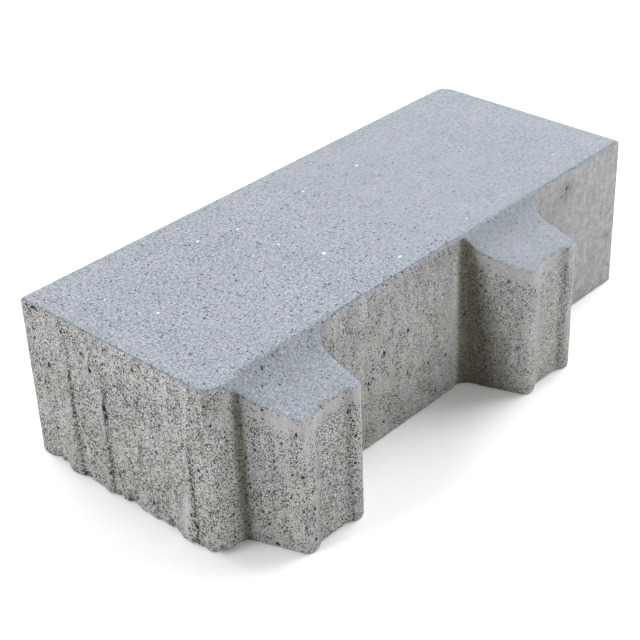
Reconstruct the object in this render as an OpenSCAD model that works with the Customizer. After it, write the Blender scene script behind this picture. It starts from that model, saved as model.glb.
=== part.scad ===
// Cast concrete paving stone with two spacer lugs, for laying with an open joint.
// Lengths are in millimetres. X runs along the stone, the lugs stand out towards -Y, and Z is up.
// The near end is the ribbed one at -X, the front is the long face with the lugs at -Y.
// The origin is at the centre of the body's bottom face, which lies on the bed.

/* [Body] */
// Length of the body, without the ribs on its near end
body_length = 288; // [240:1:360]
// Width of the body, without the lugs
body_width = 113; // [90:1:150]
// Height from the bed to the wearing face
body_height = 80; // [60:1:120]
// Chamfer along the edges of the wearing face
edge_chamfer = 1.5; // [0.5:0.1:2.5]

/* [Corners] */
// Radius of the near front corner, on the pad beside the first lug
near_front_radius = 3.5; // [1:0.5:5]
// Radius of the far front corner
far_front_radius = 1.5; // [0.5:0.5:8]
// Radius of the far back corner
far_back_radius = 4; // [0.5:0.5:8]
// Radius of the near back corner
near_back_radius = 2.5; // [0.5:0.5:8]

/* [Corner pad] */
// How far the pad between the near end and the first lug stands out from the front
pad_proud = 2.8; // [1:0.1:5]
// How far the pad runs on past the foot of the first lug
pad_overlap = 2.5; // [1:0.1:5]
// Radius of the pad's end above the first lug
pad_end_radius = 2.8; // [0.5:0.1:4]

/* [Lugs] */
// Distance from the near end to the middle of the first lug's tip
first_lug = 42; // [40:0.5:60]
// Distance between the middles of the two tips
lug_pitch = 148.5; // [110:0.5:160]
// How far the lugs stand out from the front
lug_reach = 30; // [20:0.5:40]
// Width of a lug across its tip
lug_tip = 35.5; // [34:0.5:44]
// How much further towards the near end a lug's foot is than its tip
near_flare = 10; // [2:0.5:12]
// How much further towards the far end a lug's foot is than its tip
far_flare = 3; // [1:0.5:12]
// Radius of the hollow at a lug's near foot
near_foot_radius = 4; // [1:0.5:6]
// Radius of the hollow at a lug's far foot
far_foot_radius = 9; // [1:0.5:14]
// Radius of the upright edges at the tip
lug_corner_radius = 3.5; // [1:0.5:4.5]

/* [Lug tops] */
// Distance from the front to the bend where the steep start of a lug's top turns into its slope
bend_out = 4.2; // [2:0.1:8]
// Drop from the wearing face to that bend
bend_drop = 7.8; // [5:0.1:10]
// Radius of the hollow that rounds the bend
bend_radius = 18; // [2:1:30]
// Drop from the wearing face to a lug's top at the tip
lug_tip_drop = 13.7; // [11:0.1:20]

/* [Lug channels] */
// Width of the floor of the upright channel in a lug's tip
channel_floor = 15; // [10:0.5:17]
// Width of that channel at its mouth
channel_mouth = 24; // [20:0.5:26]
// Depth of the channel
channel_depth = 2.5; // [1:0.1:4]
// Radius of the channel's bends
channel_radius = 4; // [1:0.5:5]

/* [End ribs] */
// Distance from the back to the first rib on the near end, at the bed
first_rib = 26; // [20:1:32]
// Distance from the back to the second rib
second_rib = 48; // [42:1:54]
// Distance from the front to the third rib
third_rib = 14; // [12:1:24]
// How far each rib stands out at the bed
rib_proud = [2.3, 1.4, 2.2]; // [0.5:0.1:3]
// How far below the wearing face each rib begins
rib_start = [14, 18, 26]; // [6:1:40]
// Run of a rib's gentle side, for each millimetre that it stands out
rib_gentle_run = 4.2; // [2:0.1:6]
// Run of a rib's steep side, for each millimetre that it stands out
rib_steep_run = 2.8; // [1:0.1:4]
// Lean of the ribs towards the front, in degrees
rib_lean = 2.5; // [0:0.5:6]

/* [Hidden] */
// Straight steps in one rounded corner
arc_steps = 6;
// How far cutting shapes run past what they cut
past = 5;
// How deep the pad and the lugs are rooted in the body
root = 12;
near_end = -body_length / 2;
far_end = body_length / 2;
front = -body_width / 2;
back = body_width / 2;
// How far a lug's near side has come in from its foot where it leaves the pad's face
pad_step_in = near_flare * pad_proud / lug_reach;
pad_end = near_end + first_lug - lug_tip / 2 - near_flare + pad_step_in + pad_overlap;
lug_top_slope = atan((lug_tip_drop - bend_drop) / (lug_reach - bend_out));
steep_slope = atan((bend_drop - edge_chamfer) / bend_out);
rib_places = [back - first_rib, back - second_rib, front + third_rib];
steep_start = norm([bend_out, bend_drop - edge_chamfer]);
// The hollow leaves a fiftieth of the steep start straight, below the chamfer
bend_hollow = min(bend_radius, 0.98 * steep_start / tan((steep_slope - lug_top_slope) / 2));

function turn_between(start, end) = end - start - 360 * round((end - start) / 360);

// The arc of radius r that rounds the corner b between a and c.
function corner_arc(a, b, c, r) =
    let (
        u = (a - b) / norm(a - b),
        v = (c - b) / norm(c - b),
        half = acos(u * v) / 2,
        centre = b + (u + v) / norm(u + v) * r / sin(half),
        first = b + u * r / tan(half) - centre,
        last = b + v * r / tan(half) - centre,
        start = atan2(first.y, first.x),
        turn = turn_between(start, atan2(last.y, last.x))
    )
    [for (i = [0:arc_steps]) let (t = start + turn * i / arc_steps) centre + r * [cos(t), sin(t)]];

// An outline from corners given as [x, y, radius], where a radius of 0 is a sharp corner.
function rounded_outline(corners) = [
    for (i = [0:len(corners) - 1])
        let (
            before = corners[(i + len(corners) - 1) % len(corners)],
            here = corners[i],
            after = corners[(i + 1) % len(corners)],
            point = [here.x, here.y]
        )
        each here.z == 0
            ? [point]
            : corner_arc([before.x, before.y], point, [after.x, after.y], here.z)
];

// A section with a flat top between two 45 degree slopes, which only the slopes and the top trim.
function roof(from, to) =
    let (eaves = body_height - edge_chamfer - past)
    [
        [from - past, -past],
        [to + past, -past],
        [to + past, eaves],
        [to - edge_chamfer, body_height],
        [from + edge_chamfer, body_height],
        [from - past, eaves]
    ];

// A block from the bed to the wearing face, with rounded corners and chamfered top edges.
// The corners run from the near front one round by the far front one.
module block(x_from, x_to, y_from, y_to, radii) {
    intersection() {
        linear_extrude(body_height)
            polygon(rounded_outline([
                [x_from, y_from, radii[0]],
                [x_to, y_from, radii[1]],
                [x_to, y_to, radii[2]],
                [x_from, y_to, radii[3]]
            ]));
        translate([0, y_to + past, 0])
            rotate([90, 0, 0])
                linear_extrude(y_to - y_from + 2 * past)
                    polygon(roof(x_from, x_to));
        translate([x_from - past, 0, 0])
            rotate([90, 0, 90])
                linear_extrude(x_to - x_from + 2 * past)
                    polygon(roof(y_from, y_to));
    }
}

module body() {
    block(near_end, far_end, front, back,
        [near_front_radius, far_front_radius, far_back_radius, near_back_radius]);
}

// The shallow pad that carries the near front corner out past the front.
module corner_pad() {
    block(near_end, pad_end, front - pad_proud, front + root,
        [near_front_radius, pad_end_radius, 0, 0]);
}

// Half of a lug's plan from its foot to the channel floor: X from the tip's middle, Y outwards.
// The foot has a hollow of foot_radius and stands on a face that lies foot_out proud of the front.
function lug_half(flare, foot_radius, foot_out) =
    let (foot = lug_tip / 2 + flare * (1 - foot_out / lug_reach))
    [
        [foot + foot_radius, -root, 0],
        [foot + foot_radius, foot_out, 0],
        [foot, foot_out, foot_radius],
        [lug_tip / 2, lug_reach, lug_corner_radius],
        [channel_mouth / 2, lug_reach, channel_radius],
        [channel_floor / 2, lug_reach - channel_depth, channel_radius]
    ];

function mirrored(corners) = [
    for (i = [len(corners) - 1:-1:0]) [-corners[i].x, corners[i].y, corners[i].z]
];

// A lug's side view: X outwards from the front, Y up.
function lug_side() = [
    [-root, 0, 0],
    [lug_reach + past, 0, 0],
    [lug_reach + past, body_height - lug_tip_drop - past * tan(lug_top_slope), 0],
    [bend_out, body_height - bend_drop, bend_hollow],
    [0, body_height - edge_chamfer, 0],
    [-root, body_height - edge_chamfer, 0]
];

// A lug whose near foot stands on a face that lies near_foot_out proud of the front.
module lug(near_foot_out) {
    near_half = lug_half(near_flare, near_foot_radius, near_foot_out);
    far_half = lug_half(far_flare, far_foot_radius, 0);
    near_most = near_half[0].x + past;
    far_most = far_half[0].x + past;
    intersection() {
        linear_extrude(body_height)
            mirror([0, 1, 0])
                polygon(rounded_outline(concat(far_half, mirrored(near_half))));
        translate([far_most, 0, 0])
            rotate([90, 0, -90])
                linear_extrude(near_most + far_most)
                    polygon(rounded_outline(lug_side()));
    }
}

// A ridge that stands proud of the near end at the bed and leans back into it further up.
module rib(place, proud, start) {
    height = body_height - start;
    depth = 2 * proud;
    intersection() {
        translate([near_end, place, 0])
            rotate([rib_lean, 0, 0])
                translate([-proud, 0, 0])
                    rotate([0, atan(proud / height), 0])
                        translate([0, 0, -past])
                            linear_extrude(height + 2 * past)
                                polygon([
                                    [0, 0],
                                    [depth, -depth * rib_steep_run],
                                    [depth, depth * rib_gentle_run]
                                ]);
        translate([near_end - past, front, 0])
            cube([past + root, body_width, body_height - past]);
    }
}

module paving_stone() {
    color([0.69, 0.71, 0.71]) {
        body();
        corner_pad();
        translate([near_end + first_lug, front, 0])
            lug(pad_proud);
        translate([near_end + first_lug + lug_pitch, front, 0])
            lug(0);
        for (i = [0:len(rib_places) - 1])
            rib(rib_places[i], rib_proud[i], rib_start[i]);
    }
}

paving_stone();
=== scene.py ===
"""Concrete paving stone with two spacer lugs, on a pale studio floor.

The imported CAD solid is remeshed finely, its edges are softened, and its faces get the pores, pits and
chipped bed edges of pressed concrete. The finish depends only on where a point lies on the stone.
"""

import math
from itertools import product
from types import SimpleNamespace

import bpy
import numpy as np
from mathutils import Matrix, Vector
from mathutils.kdtree import KDTree


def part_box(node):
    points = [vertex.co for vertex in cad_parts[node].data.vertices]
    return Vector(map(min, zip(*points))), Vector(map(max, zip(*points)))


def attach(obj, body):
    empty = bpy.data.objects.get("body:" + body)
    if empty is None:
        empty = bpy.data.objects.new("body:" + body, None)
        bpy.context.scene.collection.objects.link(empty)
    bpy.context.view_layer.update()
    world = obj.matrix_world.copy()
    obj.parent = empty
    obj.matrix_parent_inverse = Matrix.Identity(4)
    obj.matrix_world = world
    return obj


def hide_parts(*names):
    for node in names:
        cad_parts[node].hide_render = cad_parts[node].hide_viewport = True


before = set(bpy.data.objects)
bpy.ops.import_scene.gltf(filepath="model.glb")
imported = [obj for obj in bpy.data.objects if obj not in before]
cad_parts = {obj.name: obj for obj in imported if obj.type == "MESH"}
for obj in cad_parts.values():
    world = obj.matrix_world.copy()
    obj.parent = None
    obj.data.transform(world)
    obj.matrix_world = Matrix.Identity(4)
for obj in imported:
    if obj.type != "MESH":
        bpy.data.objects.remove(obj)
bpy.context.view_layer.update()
stone_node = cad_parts["paving_stone"]

# The stone's outer sizes in millimetres, from its CAD node.
MM = 0.001
stone_low, stone_high = (np.round(np.array(corner) / MM, 1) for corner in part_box("paving_stone"))
END, BACK, TOP = stone_high
FRONT = -BACK
LUG_REACH = FRONT - stone_low[1]

# The other sizes in millimetres, as in part.scad.
CHAMFER = 1.5
NEAR_FRONT_RADIUS = 3.5
FAR_BACK_RADIUS = 4.0
PAD_PROUD = 2.8
PAD_OVERLAP = 2.5
FIRST_LUG = 42.0
LUG_PITCH = 148.5
LUG_MIDDLES = (FIRST_LUG - END, FIRST_LUG - END + LUG_PITCH)
LUG_TIP = 35.5
NEAR_FLARE = 10.0
FAR_FLARE = 3.0
PAD_END = round(LUG_MIDDLES[0] - LUG_TIP / 2 - NEAR_FLARE * (1 - PAD_PROUD / LUG_REACH) + PAD_OVERLAP, 1)
BEND_OUT = 4.2
BEND_DROP = 7.8
TIP_DROP = 13.7
CHANNEL_MOUTH = 24.0
RIB_STEEP_RUN = 2.8
RIB_LEAN = math.radians(2.5)

# Each rib on the near end: its place across the stone at the bed, how far it stands out there, and its top.
RIBS = (
    (BACK - 26.0, 2.3, TOP - 14.0),
    (BACK - 48.0, 1.4, TOP - 18.0),
    (FRONT + 14.0, 2.2, TOP - 26.0),
)

# How far below the top edge a lug's own top counts, so that the trowelled top ends with the chamfer.
LUG_TOP_GAP = 0.6 * CHAMFER

# The mesh, in millimetres.
VOXEL = 0.6
SOFTENING = 0.6
SOFTENING_STEPS = 6
TRIANGLE_LIMIT = 190_000

# Corners that are worn rounder at the top: their place, which way they point and their radius lower down.
WORN_CORNERS = (
    ((-END, FRONT - PAD_PROUD), (-1, -1), NEAR_FRONT_RADIUS),
    ((END, BACK), (1, 1), FAR_BACK_RADIUS),
)
WORN_HEIGHT = 9.0
WORN_EXTRA_RADIUS = 5.0

# The larger open pits: X, Z and radius on the front, then Y, Z and radius on the near end.
FRONT_PITS = (
    (-37, 44, 1.2),
    (-21, 48, 0.9),
    (6, 22, 1.1),
    (-7, 24, 0.9),
    (-1, 35, 0.8),
    (-1, 6, 0.9),
    (98, 71, 1.0),
    (101, 69, 0.8),
    (94, 68, 0.8),
)
END_PITS = (
    (47.4, 78.1, 0.9),
    (45.9, 78.2, 0.9),
    (44.6, 78.3, 0.7),
    (51.0, 78.4, 0.8),
    (41, 52, 1.3),
    (6, 45, 1.5),
    (5, 41, 1.2),
)
OPEN_PIT_FACE = 1.5
OPEN_PIT_TALLNESS = 1.3

# The relief, in millimetres. A pit's share is how much of its depth is cut.
WARP = 0.6
TOP_PIT_SHARE = 0.12
SIDE_PIT_SHARE = 0.75
STREAK_DEPTH = 0.16
TROWEL_DEPTH = 0.05

# The chips along the bed, in millimetres: how far up counts as near it, and the chips' size and how much is
# added to it on the near end. Each noise that makes them ragged has a weight, a scale and a seed.
BED_BAND = 2.5
CHIP_BAND = 8.0
CHIP_SIZE = 0.6
CHIP_SIZE_NEAR = 3.2
CHIP_MIDDLE = 0.35
CHIP_SWING = 2.1
CHIP_LIMITS = (0.06, 1.5)
CHIP_NOISES = ((0.5, 12.0, 41), (0.9, 4.5, 47), (0.5, 1.9, 53))

# Painted shade, with an olive tint, in the hollow at each lug's near foot, widening towards the bed at the
# second lug as a
# painted cast shadow: the lug's middle, how far the face there is proud of the front, how wide the shade is
# at the top and how much wider at the bed, and its strength.
NEAR_FEET = (
    (LUG_MIDDLES[0], PAD_PROUD, 2.6, 1.2, 0.95),
    (LUG_MIDDLES[1], 0.0, 4.0, 22.0, 1.1),
)

# Painted shade under the front's top edge: the fades in X where it starts and stops, how far below the top it
# is darkest, how tall it is, and its strength.
EDGE_SHADES = (
    ((-END - 20, -END - 10), (PAD_END - 2, PAD_END + 2), 6, 8.0, 0.35),
    ((-40, 0), (15, 25), 4, 6.0, 0.25),
)

# Stains on the front past the second lug: X and Z of the middle, spread in X and in Z, and strength.
STAINS = (
    (99, 70, 6.0, 3.5, 0.45),
    (137, 29, 2.0, 3.0, 0.40),
    (124, 22, 3.0, 2.5, 0.30),
    (89, 60, 12.0, 12.0, 0.13),
)

# Colours, in linear light.
TOP_COLOUR = (0.245, 0.259, 0.293)
TOP_COOL_COLOUR = (0.233, 0.261, 0.289)
TOP_PIT_COLOUR = (0.05, 0.056, 0.066)
WHITE_GRAIN_COLOUR = (0.86, 0.88, 0.90)
# A painted shadow line on the chamfer just below the wearing face.
SHADOW_LINE_COLOUR = (0.095, 0.10, 0.108)
SIDE_COLOUR = (0.318, 0.316, 0.309)
SIDE_OLIVE_COLOUR = (0.314, 0.313, 0.294)
# Pale slurry below the lug tops, also used as painted highlight on the lugs' channel edges and the rib
# crests.
SLURRY_AND_HIGHLIGHT_COLOUR = (0.336, 0.340, 0.348)
# Painted shade at the lugs' feet and under the front's top edge, with an olive tint; it also colours the
# stains.
SHADE_AND_STAIN_COLOUR = (0.060, 0.052, 0.025)
CRUMB_COLOUR = (0.070, 0.067, 0.058)
PORE_COLOUR = (0.028, 0.026, 0.022)
# Painted shade down the steep side of each end rib, broken up like a row of pits.
RIB_SHADE_AND_PIT_COLOUR = (0.035, 0.032, 0.026)
FLOOR_COLOUR = (0.92, 0.92, 0.92)
SKY_COLOUR = (0.97, 0.985, 1.0)

# How the outlines of the spots are made uneven: turns of the swirl in a millimetre, and its reach each way.
SWIRL_SCALE = 0.6
SWIRL_REACH = (1.6, 1.6, 1.6)

# Gloss and bump.
CONCRETE_SPECULAR = 0.3
BUMP_STRENGTH = 0.8
FLOOR_SPECULAR = 0.1
FLOOR_ROUGHNESS = 0.9

# The camera, in metres and radians, with its lens and sensor in millimetres.
CAMERA_PLACE = (-0.45622, -0.42075, 0.40573)
CAMERA_AZIMUTH = math.radians(-46.157)
CAMERA_ELEVATION = math.radians(31.719)
CAMERA_ROLL = math.radians(-2.404)
CAMERA_LENS = 85.47
SENSOR_WIDTH = 36

# The studio, in metres. Each lamp has a name, an azimuth and an elevation in degrees, a width and a power.
FLOOR_RADIUS = 1.6
FLOOR_STEPS = 96
LAMP_DISTANCE = 2.5
LAMPS = (
    ("light_left", -108, 46, 0.6, 9.0),
    ("light_left_wide", -120, 35, 1.6, 31.5),
    ("light_back", 180, 45, 1.6, 42.0),
    ("light_right", 75, 50, 1.6, 56.0),
    ("light_right_back", 105, 35, 1.6, 21.0),
    ("light_front", 0, 35, 1.6, 19.5),
)

# The backdrop's strength above the horizon and overhead, and how much stronger it is below the horizon.
HORIZON_STRENGTH = 0.9
ZENITH_STRENGTH = 0.05
BELOW_HORIZON = 1.2

# Factors and shifts that scramble whole numbers.
SCRAMBLE_PLACES = (374761393, 668265263, 2147483647)
SCRAMBLE_SEED = 974634777
SCRAMBLE_ROUNDS = ((13, 1274126177), (16, 2246822519))
SCRAMBLE_LAST_SHIFT = 15
WHOLE_RANGE = 2**32


# ---------------------------------------------------------------- seeded noise

def lattice(i, j, k, seed):
    """A repeatable random number from 0 to 1 for each whole-number point."""
    with np.errstate(over="ignore"):
        mixed = np.uint32(seed * SCRAMBLE_SEED % WHOLE_RANGE)
        for whole, factor in zip((i, j, k), SCRAMBLE_PLACES):
            mixed = mixed + whole.astype(np.uint32) * np.uint32(factor)
        for shift, factor in SCRAMBLE_ROUNDS:
            mixed = (mixed ^ (mixed >> np.uint32(shift))) * np.uint32(factor)
        mixed = mixed ^ (mixed >> np.uint32(SCRAMBLE_LAST_SHIFT))
    return mixed.astype(np.float64) / WHOLE_RANGE


def smooth(x, low=0.0, high=1.0):
    """A smooth step from 0 at low to 1 at high."""
    t = np.clip((x - low) / (high - low), 0, 1)
    return t * t * (3 - 2 * t)


def fade(x, low, high):
    """A smooth step from 1 at low to 0 at high."""
    return 1 - smooth(x, low, high)


def bell(x, width):
    return np.exp(-((x / width) ** 2))


def value_noise(p, scale, seed):
    """Smooth noise from -1 to 1 whose bumps are about scale millimetres across."""
    q = p / np.asarray(scale, float)
    base = np.floor(q).astype(np.int64)
    u = smooth(q - base)
    total = np.zeros(len(p))
    for corner in product((0, 1), repeat=3):
        weight = np.prod(np.where(corner, u, 1 - u), axis=1)
        total += weight * lattice(*(base + corner).T, seed)
    return 2 * total - 1


def fractal(p, scale, seed, octaves=3):
    """Noise from -1 to 1 that adds finer bumps, each octave half as large and half as strong."""
    total, size, weight = np.zeros(len(p)), np.asarray(scale, float), 1.0
    for octave in range(octaves):
        total += weight * value_noise(p, size, seed + octave)
        size, weight = size / 2, weight / 2
    return total / (2 - 2.0 ** (1 - octaves))


def pits(p, cell, radii, share, seed):
    """Depths in millimetres of round pits scattered one to a cell, in a share of the cells."""
    smallest, largest = radii
    base = np.floor(p / cell).astype(np.int64)
    deepest = np.zeros(len(p))
    for step in product((-1, 0, 1), repeat=3):
        near = (base + step).T
        centre = np.stack([near[axis] + lattice(*near, seed + axis) for axis in range(3)], axis=1) * cell
        radius = smallest + (largest - smallest) * lattice(*near, seed + 3) ** 3
        there = lattice(*near, seed + 4) < share
        inside = 1 - np.sum((p - centre) ** 2, axis=1) / radius**2
        deepest = np.maximum(deepest, np.where(there, np.clip(inside, 0, 1) * radius, 0))
    return deepest


def open_pits(p):
    """Depths in millimetres of the larger open pits, a little taller than wide."""
    deepest = np.zeros(len(p))
    on_front = np.abs(p[:, 1] - FRONT) < OPEN_PIT_FACE
    on_end = p[:, 0] < OPEN_PIT_FACE - END
    for places, along, here in ((FRONT_PITS, p[:, 0], on_front), (END_PITS, p[:, 1], on_end)):
        for place, height, radius in places:
            across = (along - place) / radius
            up = (p[:, 2] - height) / (OPEN_PIT_TALLNESS * radius)
            deepest = np.maximum(deepest, here * np.clip(1 - across**2 - up**2, 0, 1) * radius)
    return deepest


# ---------------------------------------------------------------- where a point lies

def lug_top_height(out):
    """Height of a lug's hollow top at a distance out from the front."""
    bend_width = 6.5
    out = np.clip(out, 0, None)
    steep = TOP - CHAMFER - out * (BEND_DROP - CHAMFER) / BEND_OUT
    gentle = TOP - BEND_DROP - (out - BEND_OUT) * (TIP_DROP - BEND_DROP) / (LUG_REACH - BEND_OUT)
    rounding = np.clip(bend_width - np.abs(steep - gentle), 0, None) / bend_width
    return np.maximum(steep, gentle) + rounding**2 * bend_width / 4


def on_lug(p):
    """Which points belong to a lug rather than the body or the pad."""
    near_hollow, far_hollow = 5.0, 10.0
    pad_rounding, pad_slant, pad_slack, root = 3.0, 0.8, 0.3, 0.5
    out = FRONT - p[:, 1]
    found = np.zeros(len(p), bool)
    for middle in LUG_MIDDLES:
        low = middle - LUG_TIP / 2 - NEAR_FLARE - near_hollow
        high = middle + LUG_TIP / 2 + FAR_FLARE + far_hollow
        found |= (p[:, 0] > low) & (p[:, 0] < high)
    pad_limit = PAD_END - pad_rounding - pad_slant * np.clip(p[:, 2] - TOP + BEND_DROP, 0, None)
    on_pad = (p[:, 0] < pad_limit) & (out < PAD_PROUD + pad_slack)
    return found & (out > -CHAMFER - root) & ~on_pad


def gap_below_top(p):
    """Distance below the nearest top edge, to which a lug adds its own top's gap."""
    out = FRONT - p[:, 1]
    lug_gap = lug_top_height(out) - p[:, 2] + LUG_TOP_GAP
    return np.where(on_lug(p), lug_gap, TOP - p[:, 2])


def rib_band(p, offset, width):
    """Nearness to the line down each end rib, offset in steep runs from its crest towards the front."""
    least_height, fade_below, fade_above = 0.25, 12, 8
    band = np.zeros(len(p))
    for place, proud, top in RIBS:
        run = RIB_STEEP_RUN * proud * np.clip(1 - p[:, 2] / top, least_height, 1)
        line = place - p[:, 2] * math.tan(RIB_LEAN) - offset * run
        low_enough = fade(p[:, 2], top - fade_below, top + fade_above)
        band = np.maximum(band, bell(p[:, 1] - line, width) * low_enough)
    return band * smooth(-p[:, 0], END - 1.5, END - 0.5)


def beyond_lugs(p):
    """Which points lie on the smooth stretch of the front past the second lug."""
    out = FRONT - p[:, 1]
    return smooth(p[:, 0], LUG_MIDDLES[1] + 22, LUG_MIDDLES[1] + 34) * (np.abs(out) < 1)


# ---------------------------------------------------------------- the mesh

def apply_modifiers(piece):
    graph = bpy.context.evaluated_depsgraph_get()
    final = bpy.data.meshes.new_from_object(piece.evaluated_get(graph))
    piece.modifiers.clear()
    old = piece.data
    piece.data = final
    bpy.data.meshes.remove(old)


def remeshed(source, voxel):
    """A fine, even copy of a mesh object."""
    piece = bpy.data.objects.new("stone", source.data.copy())
    bpy.context.scene.collection.objects.link(piece)
    remesh = piece.modifiers.new("even", "REMESH")
    remesh.mode = "VOXEL"
    remesh.voxel_size = voxel * MM
    apply_modifiers(piece)
    return piece


def thin_out(piece, limit):
    """Brings a piece down to a number of triangles."""
    triangles = 2 * len(piece.data.polygons)
    if triangles > limit:
        thin = piece.modifiers.new("thin", "DECIMATE")
        thin.ratio = limit / triangles
        apply_modifiers(piece)


def vertices_of(mesh):
    co = np.zeros(len(mesh.vertices) * 3, np.float32)
    mesh.vertices.foreach_get("co", co)
    return co.reshape(-1, 3).astype(np.float64) / MM


def normals_of(mesh):
    n = np.zeros(len(mesh.vertices) * 3, np.float32)
    mesh.vertex_normals.foreach_get("vector", n)
    return n.reshape(-1, 3).astype(np.float64)


def set_vertices(mesh, p):
    mesh.vertices.foreach_set("co", (p * MM).astype(np.float32).ravel())
    mesh.update()


def add_values(mesh, name, values):
    """Keeps a number for each point, which the material reads by name."""
    attribute = mesh.attributes.new(name, "FLOAT", "POINT")
    attribute.data.foreach_set("value", values.astype(np.float32))


def soften(mesh, steps):
    """Rounds the edges by moving each point towards the mean of its neighbours."""
    edges = np.zeros(len(mesh.edges) * 2, np.int32)
    mesh.edges.foreach_get("vertices", edges)
    a, b = edges.reshape(-1, 2).T
    p = vertices_of(mesh)
    count = np.bincount(a, minlength=len(p)) + np.bincount(b, minlength=len(p))
    for _ in range(steps):
        mean = np.stack(
            [
                (np.bincount(a, p[b, axis], len(p)) + np.bincount(b, p[a, axis], len(p))) / count
                for axis in range(3)
            ],
            axis=1,
        )
        p = (1 - SOFTENING) * p + SOFTENING * mean
    set_vertices(mesh, p)


def eased_corners(p):
    """The points with two corners worn rounder towards the wearing face, and its chamfer led round them."""
    wear = smooth(p[:, 2], TOP - WORN_HEIGHT, TOP)
    inset = np.clip(p[:, 2] - TOP + CHAMFER, 0, None)
    eased = p.copy()
    for corner, side, radius in WORN_CORNERS:
        radii = radius + WORN_EXTRA_RADIUS * wear
        centre = np.array(corner) - np.array(side) * radii[:, None]
        away = (p[:, :2] - centre) * side
        distance = np.maximum(np.hypot(away[:, 0], away[:, 1]), 1e-6)
        limit = radii - inset
        outside = (away[:, 0] > 0) & (away[:, 1] > 0) & (distance > limit)
        pulled = centre + side * away * (limit / distance)[:, None]
        eased[:, :2] = np.where(outside[:, None], pulled, eased[:, :2])
    return eased


def bed_edge_distance(p, n):
    """Distance of each point near the bed from the outline of the stone's sides."""
    by_bed = p[:, 2] < BED_BAND
    rim = p[by_bed & (np.abs(n[:, 2]) < 0.5)]
    tree = KDTree(len(rim))
    for index, point in enumerate(rim):
        tree.insert((point[0], point[1], 0), index)
    tree.balance()
    distance = np.zeros(len(p))
    for index in np.nonzero(by_bed & (n[:, 2] < -0.5))[0]:
        distance[index] = tree.find((p[index, 0], p[index, 1], 0))[2]
    return distance


def chips(p, n):
    """Depth of the chips that break the edges at the bed, deepest on the near end."""
    plan = p * [1, 1, 0]
    near = smooth(-p[:, 0], END - 9, END - 1)
    ragged = sum(weight * fractal(plan, scale, seed) for weight, scale, seed in CHIP_NOISES)
    size = (CHIP_SIZE + CHIP_SIZE_NEAR * near) * np.clip(CHIP_MIDDLE + CHIP_SWING * ragged, *CHIP_LIMITS)
    depth = np.clip(size - bed_edge_distance(p, n) - p[:, 2], 0, None)
    reach = np.hypot(n[:, 0], n[:, 1]) + np.abs(n[:, 2])
    return np.where(p[:, 2] < CHIP_BAND, depth / reach, 0)


def pit_depths(p):
    """Depths in millimetres of the pits and pores that are large enough for the mesh."""
    warped = p + WARP * np.stack([value_noise(p, 1.7, seed=11 + axis) for axis in range(3)], axis=1)
    large = pits(warped, cell=6.5, radii=(0.6, 1.3), share=0.18, seed=21)
    small = pits(warped, cell=2.6, radii=(0.45, 0.9), share=0.30, seed=31)
    by_ribs = smooth(rib_band(p, offset=0.7, width=1.6), 0.45, 0.7)
    dense = pits(warped, cell=1.8, radii=(0.5, 1.0), share=0.60, seed=36) * by_ribs
    scattered = np.maximum.reduce([large, small, dense]) * (1 - 0.9 * beyond_lugs(p))
    return np.maximum(scattered, open_pits(warped))


def relief(p, pit):
    """Depth in millimetres cut into each point: pits and mould streaks in the sides, less in the top."""
    side = smooth(gap_below_top(p), 1.0, 3.0)
    depth = (TOP_PIT_SHARE + SIDE_PIT_SHARE * side) * pit
    depth += side * STREAK_DEPTH * (1 + fractal(p, (2.6, 2.6, 9.0), seed=51))
    depth += (1 - side) * TROWEL_DEPTH * (1 + value_noise(p, 1.8, seed=61))
    return depth


def build_stone():
    piece = remeshed(stone_node, VOXEL)
    mesh = piece.data
    set_vertices(mesh, eased_corners(vertices_of(mesh)))
    soften(mesh, SOFTENING_STEPS)
    p, n = vertices_of(mesh), normals_of(mesh)
    pit = pit_depths(p)
    depth = relief(p, pit) + chips(p, n)
    add_values(mesh, "pit", pit)
    set_vertices(mesh, p - n * depth[:, None])
    thin_out(piece, TRIANGLE_LIMIT)
    mesh = piece.data
    mesh.polygons.foreach_set("use_smooth", np.ones(len(mesh.polygons), bool))
    return piece


# ---------------------------------------------------------------- maps for the finish

def painted_shade_and_stains(p):
    """How dark a point is from painted shade at the lugs' feet and under the front's top edge, and from
    stains.
    """
    flank_reach, face_reach, face_slack, face_length = (0.2, 1.3), (0.3, 1.6), 1.5, 14
    far_strength, far_reach = 0.6, 7.0
    x, out, z = p[:, 0], FRONT - p[:, 1], p[:, 2]
    low = np.clip(1 - z / TOP, 0, 1)
    shades = []
    for middle, proud, start, growth, strength in NEAR_FEET:
        foot = middle - LUG_TIP / 2 - NEAR_FLARE * (1 - proud / LUG_REACH)
        width = start + growth * low
        flank = fade(np.clip(out - proud, 0, None), *(share * width for share in flank_reach))
        face = fade(foot - x, *(share * start for share in face_reach))
        near = np.where(out < proud + face_slack, face, flank) * (x < middle) * (x > foot - face_length)
        far_foot = middle + LUG_TIP / 2 + FAR_FLARE
        shades += [strength * near, far_strength * bell(np.hypot(x - far_foot, out), far_reach)]
    for start, stop, drop, tall, strength in EDGE_SHADES:
        shades.append(strength * smooth(x, *start) * fade(x, *stop) * bell(z - TOP + drop, tall))
    stain = sum(
        strength * bell(x - place, wide) * bell(z - height, tall)
        for place, height, wide, tall, strength in STAINS
    )
    shade = np.maximum.reduce([*shades, stain])
    return np.minimum(shade, 1) * smooth(out, -1.5, -0.2)


def away_from_lugs(x, out):
    """Which points of the wearing face's edge run on past the lugs, rather than over their tops."""
    far_shift, least, most = 2, LUG_TIP / 2 + 10, LUG_TIP / 2 + 16
    inward = smooth(-out, 5, 8)
    beside = [smooth(np.abs(x - middle - far_shift), least, most) for middle in LUG_MIDDLES]
    return np.maximum(np.minimum.reduce(beside), inward)


def on_tips(x, out, place, width):
    """Nearness to the upright line at a place from the middle of each lug's tip."""
    tip = smooth(out, LUG_REACH - 5, LUG_REACH - 3)
    return tip * np.maximum.reduce([bell(x - middle - place, width) for middle in LUG_MIDDLES])


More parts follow.
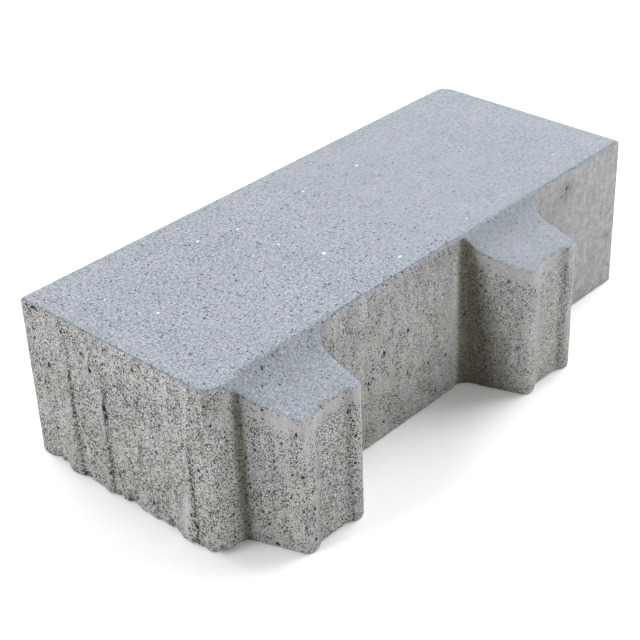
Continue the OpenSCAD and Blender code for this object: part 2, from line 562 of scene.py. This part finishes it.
def finish_maps(p):
    """Named maps over the points that steer the concrete's colour and pores, with ranges in millimetres."""
    x, y, z, out = p[:, 0], p[:, 1], p[:, 2], FRONT - p[:, 1]
    gap, lug = gap_below_top(p), on_lug(p)
    below_lug_top = lug & (gap > LUG_TOP_GAP)
    front = np.abs(out) < 1
    between = smooth(x, LUG_MIDDLES[0] + 20, LUG_MIDDLES[0] + 32) * (x < LUG_MIDDLES[1]) * front
    beyond = beyond_lugs(p)
    slurry = below_lug_top * smooth(gap, 1.0, 2.5) * fade(gap, 6.0, 11.0)
    # A painted highlight along the near edge of each lug's channel, with fewer pores.
    mouth = on_tips(x, out, place=-CHANNEL_MOUTH / 2, width=1.0)
    ridge = on_tips(x, out, place=LUG_TIP / 2 - 1.5, width=2.4)
    channel = on_tips(x, out, place=0.4 * CHANNEL_MOUTH, width=1.9)
    pad = (x < PAD_END) * smooth(out, 1, 2) * (out < 4)
    smear = between * bell(x - 11, 6.0) * smooth(z, 8, 20) * fade(z, 40, 62)
    # The steep side of each end rib: more pores, and painted shade down its line.
    steep = rib_band(p, offset=0.75, width=1.2)
    third_rib = y < -30
    # The third rib's lower crest: paler slurry with a painted highlight; on the other ribs' crests, a painted
    # highlight.
    pale_crest = rib_band(p, offset=-0.2, width=2.8) * fade(z, 18, 34) * third_rib
    lit_crest = rib_band(p, offset=-0.5, width=2.0) * ~third_rib
    corner = smooth(-x, END - 25, END) * smooth(-y, 20, 50) * fade(z, 25, 60)
    end_top = smooth(-x, END - 4, END - 1.5) * smooth(y, -52, -34)
    far_end = smooth(x, END - 2, END - 0.8)

    # What each mark adds to the pores, to the paleness and to the dimness.
    marks = (
        (slurry, -0.85, 0.9, 0),
        (mouth, -0.8, 0.9, 0),
        (ridge, -0.6, 0.6, 0),
        (channel, 1.0, 0, 0.22),
        (pad, 0, 0, -0.14),
        (smear, -0.6, 0.5, 0),
        (between * fade(z, 5, 45), 0, 0, 0.13),
        (beyond, -0.9, 1.2, 0.16),
        (beyond * fade(z, 0, 14), 0, 0, 0.12),
        (steep, 0.9, 0, 0),
        (pale_crest, -1.1, 1.6, -0.5),
        (lit_crest, -0.3, 0.35, 0),
        (corner, 0.25, 0, 0),
        (far_end, -0.4, 0.25, 0),
    )
    pores = 1 + sum(mark * amount for mark, amount, _, _ in marks)
    pale = sum(mark * amount for mark, _, amount, _ in marks)
    dim = sum(mark * amount for mark, _, _, amount in marks)
    return {
        "gap": gap,
        "drop": gap + 0.75 * end_top + 0.25 * below_lug_top,
        "rim": away_from_lugs(x, out),
        "shade": painted_shade_and_stains(p),
        "pores": np.clip(pores, 0, 2),
        "pale": np.clip(pale, 0, 1),
        "steep": steep,
        "dim": dim,
        "away": smooth(x, -80, 140),
        "lug": lug * smooth(out, 0, 4),
    }


# ---------------------------------------------------------------- the concrete

class Graph:
    """Short names for building the nodes of a material or the world."""

    def __init__(self, owner):
        owner.use_nodes = True
        self.nodes = owner.node_tree.nodes
        self.links = owner.node_tree.links
        self.nodes.clear()

    def put(self, socket, value):
        if isinstance(value, bpy.types.NodeSocket):
            self.links.new(value, socket)
        elif isinstance(value, (tuple, list)) and socket.type == "RGBA":
            socket.default_value = (*value, 1)
        else:
            socket.default_value = value

    def node(self, kind, inputs=(), **settings):
        made = self.nodes.new("ShaderNode" + kind)
        for key, value in settings.items():
            setattr(made, key, value)
        for key, value in dict(inputs).items():
            self.put(made.inputs[key], value)
        return made

    def math(self, operation, a, b=0.0, c=0.0, clamp=False):
        return self.node("Math", {0: a, 1: b, 2: c}, operation=operation, use_clamp=clamp).outputs[0]

    def add(self, a, b):
        return self.math("ADD", a, b)

    def sub(self, a, b):
        return self.math("SUBTRACT", a, b)

    def mul(self, a, b):
        return self.math("MULTIPLY", a, b)

    def larger(self, a, b):
        return self.math("MAXIMUM", a, b)

    def swing(self, noise, amount):
        """A noise's swing to either side of its middle, times an amount."""
        return self.mul(self.sub(noise, 0.5), amount)

    def blend(self, factor, a, b):
        """Value a where the factor is 0 and b where it is 1."""
        return self.math("MULTIPLY_ADD", factor, self.sub(b, a), a)

    def ramp(self, value, low, high, start=0.0, end=1.0):
        """A smooth step from start at low to end at high."""
        made = self.node(
            "MapRange",
            {"Value": value, "From Min": low, "From Max": high, "To Min": start, "To Max": end},
            interpolation_type="SMOOTHSTEP",
        )
        return made.outputs["Result"]

    def mix(self, factor, a, b):
        made = self.node("Mix", data_type="RGBA")
        self.put(made.inputs[0], factor)
        self.put(made.inputs[6], a)
        self.put(made.inputs[7], b)
        return made.outputs[2]

    def scaled(self, vector, factor):
        """A vector or colour times a number."""
        return self.node("VectorMath", {0: vector, "Scale": factor}, operation="SCALE").outputs[0]

    def stretched(self, vector, factors):
        """A vector with each of its parts times its own number."""
        return self.node("VectorMath", {0: vector, 1: factors}, operation="MULTIPLY").outputs[0]

    def map(self, name):
        return self.node("Attribute", attribute_name=name).outputs["Fac"]

    def noise(self, place, size, detail=2.0, rough=0.5):
        """Noise from about 0.2 to 0.8 with bumps of that size in millimetres."""
        inputs = {"Vector": place, "Scale": 1 / size, "Detail": detail, "Roughness": rough}
        return self.node("TexNoise", inputs).outputs["Fac"]

    def spots(self, place, cell, smallest, largest, share, blur=0.25, flat=False):
        """Spots scattered one to a cell: their radii in millimetres, in a share of the cells.
        Flat spots run straight down, so that a level face shows each one whole."""
        share_blur = 0.02
        inputs = {"Vector": place, "Scale": 1 / cell}
        voronoi = self.node("TexVoronoi", inputs, voronoi_dimensions="2D" if flat else "3D")
        pick = self.node("SeparateColor", {0: voronoi.outputs["Color"]})
        radius = self.blend(self.math("POWER", pick.outputs[0], 2.0), smallest, largest)
        low, high = self.sub(share, share_blur), self.add(share, share_blur)
        chosen = self.ramp(pick.outputs[1], low, high, 1.0, 0.0)
        inside = self.sub(radius, self.mul(voronoi.outputs["Distance"], cell))
        return self.mul(self.ramp(inside, -blur * smallest, blur * smallest), chosen)


def shared_inputs(g):
    """The places, maps and noises that more than one part of the concrete uses."""
    place = g.scaled(g.node("TexCoord").outputs["Object"], 1 / MM)
    swirl = g.node("TexNoise", {"Vector": place, "Scale": SWIRL_SCALE, "Detail": 2.0}).outputs["Color"]
    offset = g.node("VectorMath", {0: swirl, 1: (-0.5, -0.5, -0.5)}, operation="ADD").outputs[0]
    inputs = {0: offset, 1: SWIRL_REACH, 2: place}
    warped = g.node("VectorMath", inputs, operation="MULTIPLY_ADD").outputs[0]
    names = ("gap", "drop", "rim", "shade", "pores", "pale", "steep", "dim", "away", "lug", "pit")
    maps = {name: g.map(name) for name in names}
    away = maps["away"]
    fine, sand = (
        g.blend(away, g.noise(place, near, detail=1.0, rough=0.6), g.noise(place, far, detail=1.0, rough=0.6))
        for near, far in ((0.42, 1.0), (0.95, 1.7))
    )
    return SimpleNamespace(
        place=place,
        warped=warped,
        fine=fine,
        sand=sand,
        grain=g.noise(place, 1.7, detail=2.0, rough=0.6),
        mottle=g.noise(place, 9.0, detail=3.0, rough=0.55),
        cloud=g.noise(place, 38.0),
        streak=g.noise(g.stretched(place, (1.0, 1.0, 0.16)), 3.2, detail=3.0, rough=0.6),
        hue=g.ramp(g.noise(place, 13.0), 0.38, 0.62),
        **maps,
    )


def trowelled_top(g, s):
    """Colour and relief of the top: bluish grey sand with tiny pits and a few white grains."""
    light = g.add(g.swing(s.sand, 1.7), g.swing(s.grain, 0.7))
    light = g.mul(g.mul(light, g.blend(g.ramp(s.away, 0.0, 0.6), 1.15, 0.45)), g.blend(s.lug, 1.0, 0.75))
    light = g.add(light, g.add(g.swing(s.mottle, 0.26), g.swing(s.cloud, 0.14)))
    light = g.sub(light, g.mul(s.lug, 0.06))
    colour = g.scaled(g.mix(s.hue, TOP_COLOUR, TOP_COOL_COLOUR), g.add(1.0, light))

    share = g.mul(g.blend(s.away, 0.50, 0.26), g.blend(s.lug, 1.0, 0.3))
    share = g.mul(share, g.ramp(s.mottle, 0.42, 0.58, start=0.55, end=1.25))
    specks = g.spots(s.warped, cell=3.0, smallest=0.22, largest=0.60, share=share, flat=True)
    share = g.mul(g.blend(s.away, 0.75, 0.40), g.blend(s.lug, 1.0, 0.4))
    clusters = g.spots(s.warped, cell=1.5, smallest=0.30, largest=0.66, share=share, flat=True)
    clusters = g.mul(clusters, g.ramp(g.noise(s.place, 6.0), 0.62, 0.66))
    dark = g.larger(specks, clusters)
    colour = g.mix(g.mul(dark, g.blend(s.away, 0.95, 0.36)), colour, TOP_PIT_COLOUR)

    share = g.blend(s.away, 0.34, -0.04)
    glint = g.spots(s.warped, cell=25.0, smallest=0.35, largest=1.25, share=share, blur=0.6, flat=True)
    colour = g.mix(g.mul(glint, g.sub(1.0, s.lug)), colour, WHITE_GRAIN_COLOUR)

    height = g.add(g.mul(s.fine, 0.22), g.mul(s.grain, 0.20))
    return colour, g.sub(height, g.mul(dark, 0.20))


def moulded_sides(g, s):
    """Colour and relief of the sides: warm grey with open pores, drag streaks and painted shade in olive
    hollows.
    """
    smear = g.ramp(g.noise(g.stretched(s.place, (1.0, 1.0, 0.10)), 6.0, detail=1.0), 0.56, 0.70)
    patches = g.noise(g.stretched(s.place, (1.0, 1.0, 0.6)), 7.0)
    patchy = g.mul(s.pores, g.ramp(patches, 0.36, 0.62, start=0.5, end=1.4))
    patchy = g.mul(patchy, g.blend(smear, 1.0, 0.35))
    patchy = g.add(patchy, g.mul(s.shade, 0.5))
    share = g.mul(patchy, g.blend(s.away, 0.80, 0.45))
    pores = g.spots(s.warped, cell=0.85, smallest=0.22, largest=0.43, share=share)
    share = g.mul(patchy, g.blend(s.away, 0.28, 0.18))
    holes = g.spots(s.warped, cell=3.2, smallest=0.40, largest=0.80, share=share)
    open_pores = g.larger(pores, holes)
    cavity = g.larger(open_pores, g.ramp(s.pit, 0.15, 0.45))
    crumbs = g.mul(g.ramp(s.fine, 0.32, 0.40, 1.0, 0.0), g.ramp(patchy, 0.0, 1.2, start=0.1, end=1.0))

    light = g.add(g.swing(s.fine, 3.6), g.swing(s.grain, 0.25))
    light = g.mul(light, g.blend(s.away, 1.12, 0.55))
    light = g.mul(light, g.blend(s.pale, 1.0, 0.4))
    light = g.add(light, g.add(g.swing(s.mottle, 0.36), g.swing(s.streak, 0.40)))
    light = g.add(light, g.add(g.swing(s.cloud, 0.20), g.mul(smear, 0.10)))
    light = g.add(light, g.mul(g.swing(g.noise(s.place, 4.0, detail=1.5), 1.5), g.mul(s.away, s.pale)))
    light = g.sub(light, s.dim)

    height = g.node("SeparateXYZ", {0: s.place}).outputs[2]
    low = g.ramp(height, 15.0, 75.0, start=1.0, end=0.3)
    colour = g.scaled(g.mix(g.mul(s.hue, low), SIDE_COLOUR, SIDE_OLIVE_COLOUR), g.add(1.0, light))
    # Pale slurry, and painted highlight on the lugs' channel edges and the rib crests.
    colour = g.mix(g.mul(s.pale, 0.5), colour, SLURRY_AND_HIGHLIGHT_COLOUR)
    # Painted shade at the lugs' feet and under the front's top edge, olive tinted, and the front's stains.
    shade_and_stain = g.math("MULTIPLY", s.shade, g.add(1.0, g.swing(s.grain, 0.8)), clamp=True)
    colour = g.mix(g.mul(shade_and_stain, 0.82), colour, SHADE_AND_STAIN_COLOUR)
    colour = g.mix(g.mul(crumbs, g.blend(s.away, 0.8, 0.5)), colour, CRUMB_COLOUR)
    colour = g.mix(g.mul(cavity, g.blend(s.away, 1.0, 0.55)), colour, PORE_COLOUR)
    # Painted shade down the steep side of each end rib, broken up like a row of pits.
    broken_rib_shade = g.mul(s.steep, g.ramp(g.noise(s.place, 1.1), 0.44, 0.54))
    colour = g.mix(g.mul(broken_rib_shade, 0.95), colour, RIB_SHADE_AND_PIT_COLOUR)

    height = g.add(g.mul(s.fine, 0.24), g.mul(s.grain, 0.22))
    height = g.add(height, g.mul(s.streak, 0.25))
    return colour, g.sub(height, g.mul(open_pores, 0.45))


def concrete():
    """The stone's one material, which changes from the top's finish to the sides' just below the top."""
    material = bpy.data.materials.new("cast_concrete")
    g = Graph(material)
    s = shared_inputs(g)
    top_colour, top_relief = trowelled_top(g, s)
    side_colour, side_relief = moulded_sides(g, s)

    edge = g.add(s.drop, g.swing(s.grain, 0.6))
    top = g.ramp(edge, 1.25, 1.85, 1.0, 0.0)
    colour = g.mix(top, side_colour, top_colour)
    # A painted shadow line on the chamfer just below the wearing face, where its edge runs on past the lugs.
    shadow_line = g.mul(g.mul(g.ramp(s.gap, 0.28, 0.42), g.ramp(s.gap, 0.58, 0.85, 1.0, 0.0)), s.rim)
    shadow_line = g.mul(shadow_line, g.ramp(g.noise(s.place, 3.0), 0.35, 0.55, start=0.35, end=1.0))
    colour = g.mix(g.mul(shadow_line, 0.55), colour, SHADOW_LINE_COLOUR)

    relief_height = g.add(g.mul(top_relief, top), g.mul(side_relief, g.sub(1.0, top)))
    bump = g.node("Bump", {"Strength": BUMP_STRENGTH, "Distance": MM, "Height": relief_height})
    roughness = g.ramp(s.grain, 0.3, 0.7, start=0.84, end=0.96)
    inputs = {"Base Color": colour, "Roughness": roughness, "Normal": bump.outputs[0]}
    surface = g.node("BsdfPrincipled", inputs)
    surface.inputs["Specular IOR Level"].default_value = CONCRETE_SPECULAR
    output = g.node("OutputMaterial", {"Surface": surface.outputs[0]})
    output.is_active_output = True
    return material


# ---------------------------------------------------------------- the studio

def direction(azimuth, elevation):
    """The way from the stone at angles in radians. Azimuth is 0 in front of it and turns towards +X."""
    flat = math.cos(elevation)
    return Vector((math.sin(azimuth) * flat, -math.cos(azimuth) * flat, math.sin(elevation)))


def add_camera():
    camera = bpy.data.objects.new("camera", bpy.data.cameras.new("camera"))
    camera.data.sensor_width = SENSOR_WIDTH
    camera.data.lens = CAMERA_LENS
    back = direction(CAMERA_AZIMUTH, CAMERA_ELEVATION)
    level = Vector((math.cos(CAMERA_AZIMUTH), math.sin(CAMERA_AZIMUTH), 0))
    upright = back.cross(level)
    right = math.cos(CAMERA_ROLL) * level + math.sin(CAMERA_ROLL) * upright
    up = back.cross(right)
    turned = Matrix((right, up, back)).transposed().to_4x4()
    turned.translation = Vector(CAMERA_PLACE)
    camera.matrix_world = turned
    bpy.context.scene.collection.objects.link(camera)
    bpy.context.scene.camera = camera


def add_lamp(name, azimuth, elevation, size, power):
    """A square light that faces the stone."""
    lamp = bpy.data.lights.new(name, "AREA")
    lamp.shape = "SQUARE"
    lamp.size = size
    lamp.energy = power
    light = bpy.data.objects.new(name, lamp)
    place = LAMP_DISTANCE * direction(math.radians(azimuth), math.radians(elevation))
    light.location = place
    light.rotation_euler = place.to_track_quat("Z", "Y").to_euler()
    bpy.context.scene.collection.objects.link(light)


def add_floor():
    """A round floor, small enough for the lamps to light it all."""
    mesh = bpy.data.meshes.new("floor")
    turns = [2 * math.pi * step / FLOOR_STEPS for step in range(FLOOR_STEPS)]
    rim = [(FLOOR_RADIUS * math.cos(turn), FLOOR_RADIUS * math.sin(turn), 0) for turn in turns]
    mesh.from_pydata(rim, [], [tuple(range(FLOOR_STEPS))])
    floor = bpy.data.objects.new("floor", mesh)
    bpy.context.scene.collection.objects.link(floor)
    material = bpy.data.materials.new("pale_floor")
    g = Graph(material)
    surface = g.node("BsdfPrincipled", {"Base Color": FLOOR_COLOUR, "Roughness": FLOOR_ROUGHNESS})
    surface.inputs["Specular IOR Level"].default_value = FLOOR_SPECULAR
    g.node("OutputMaterial", {"Surface": surface.outputs[0]})
    mesh.materials.append(material)


def add_world():
    """A backdrop that is white below the horizon, like the floor, pale above it and dim overhead."""
    world = bpy.data.worlds.new("studio")
    bpy.context.scene.world = world
    g = Graph(world)
    height = g.node("SeparateXYZ", {0: g.node("TexCoord").outputs["Generated"]}).outputs[2]
    strength = g.ramp(height, 0.18, 0.40, HORIZON_STRENGTH, ZENITH_STRENGTH)
    strength = g.mul(strength, g.ramp(height, -0.02, 0.06, BELOW_HORIZON, 1.0))
    background = g.node("Background", {"Color": SKY_COLOUR, "Strength": strength})
    g.node("OutputWorld", {"Surface": background.outputs[0]})


stone = build_stone()
for map_name, map_values in finish_maps(vertices_of(stone.data)).items():
    add_values(stone.data, map_name, map_values)
stone.data.materials.clear()
stone.data.materials.append(concrete())
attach(stone, "root")
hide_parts("paving_stone")

add_floor()
add_world()
for lamp_row in LAMPS:
    add_lamp(*lamp_row)
add_camera()
bpy.context.scene.view_settings.view_transform = "Standard"
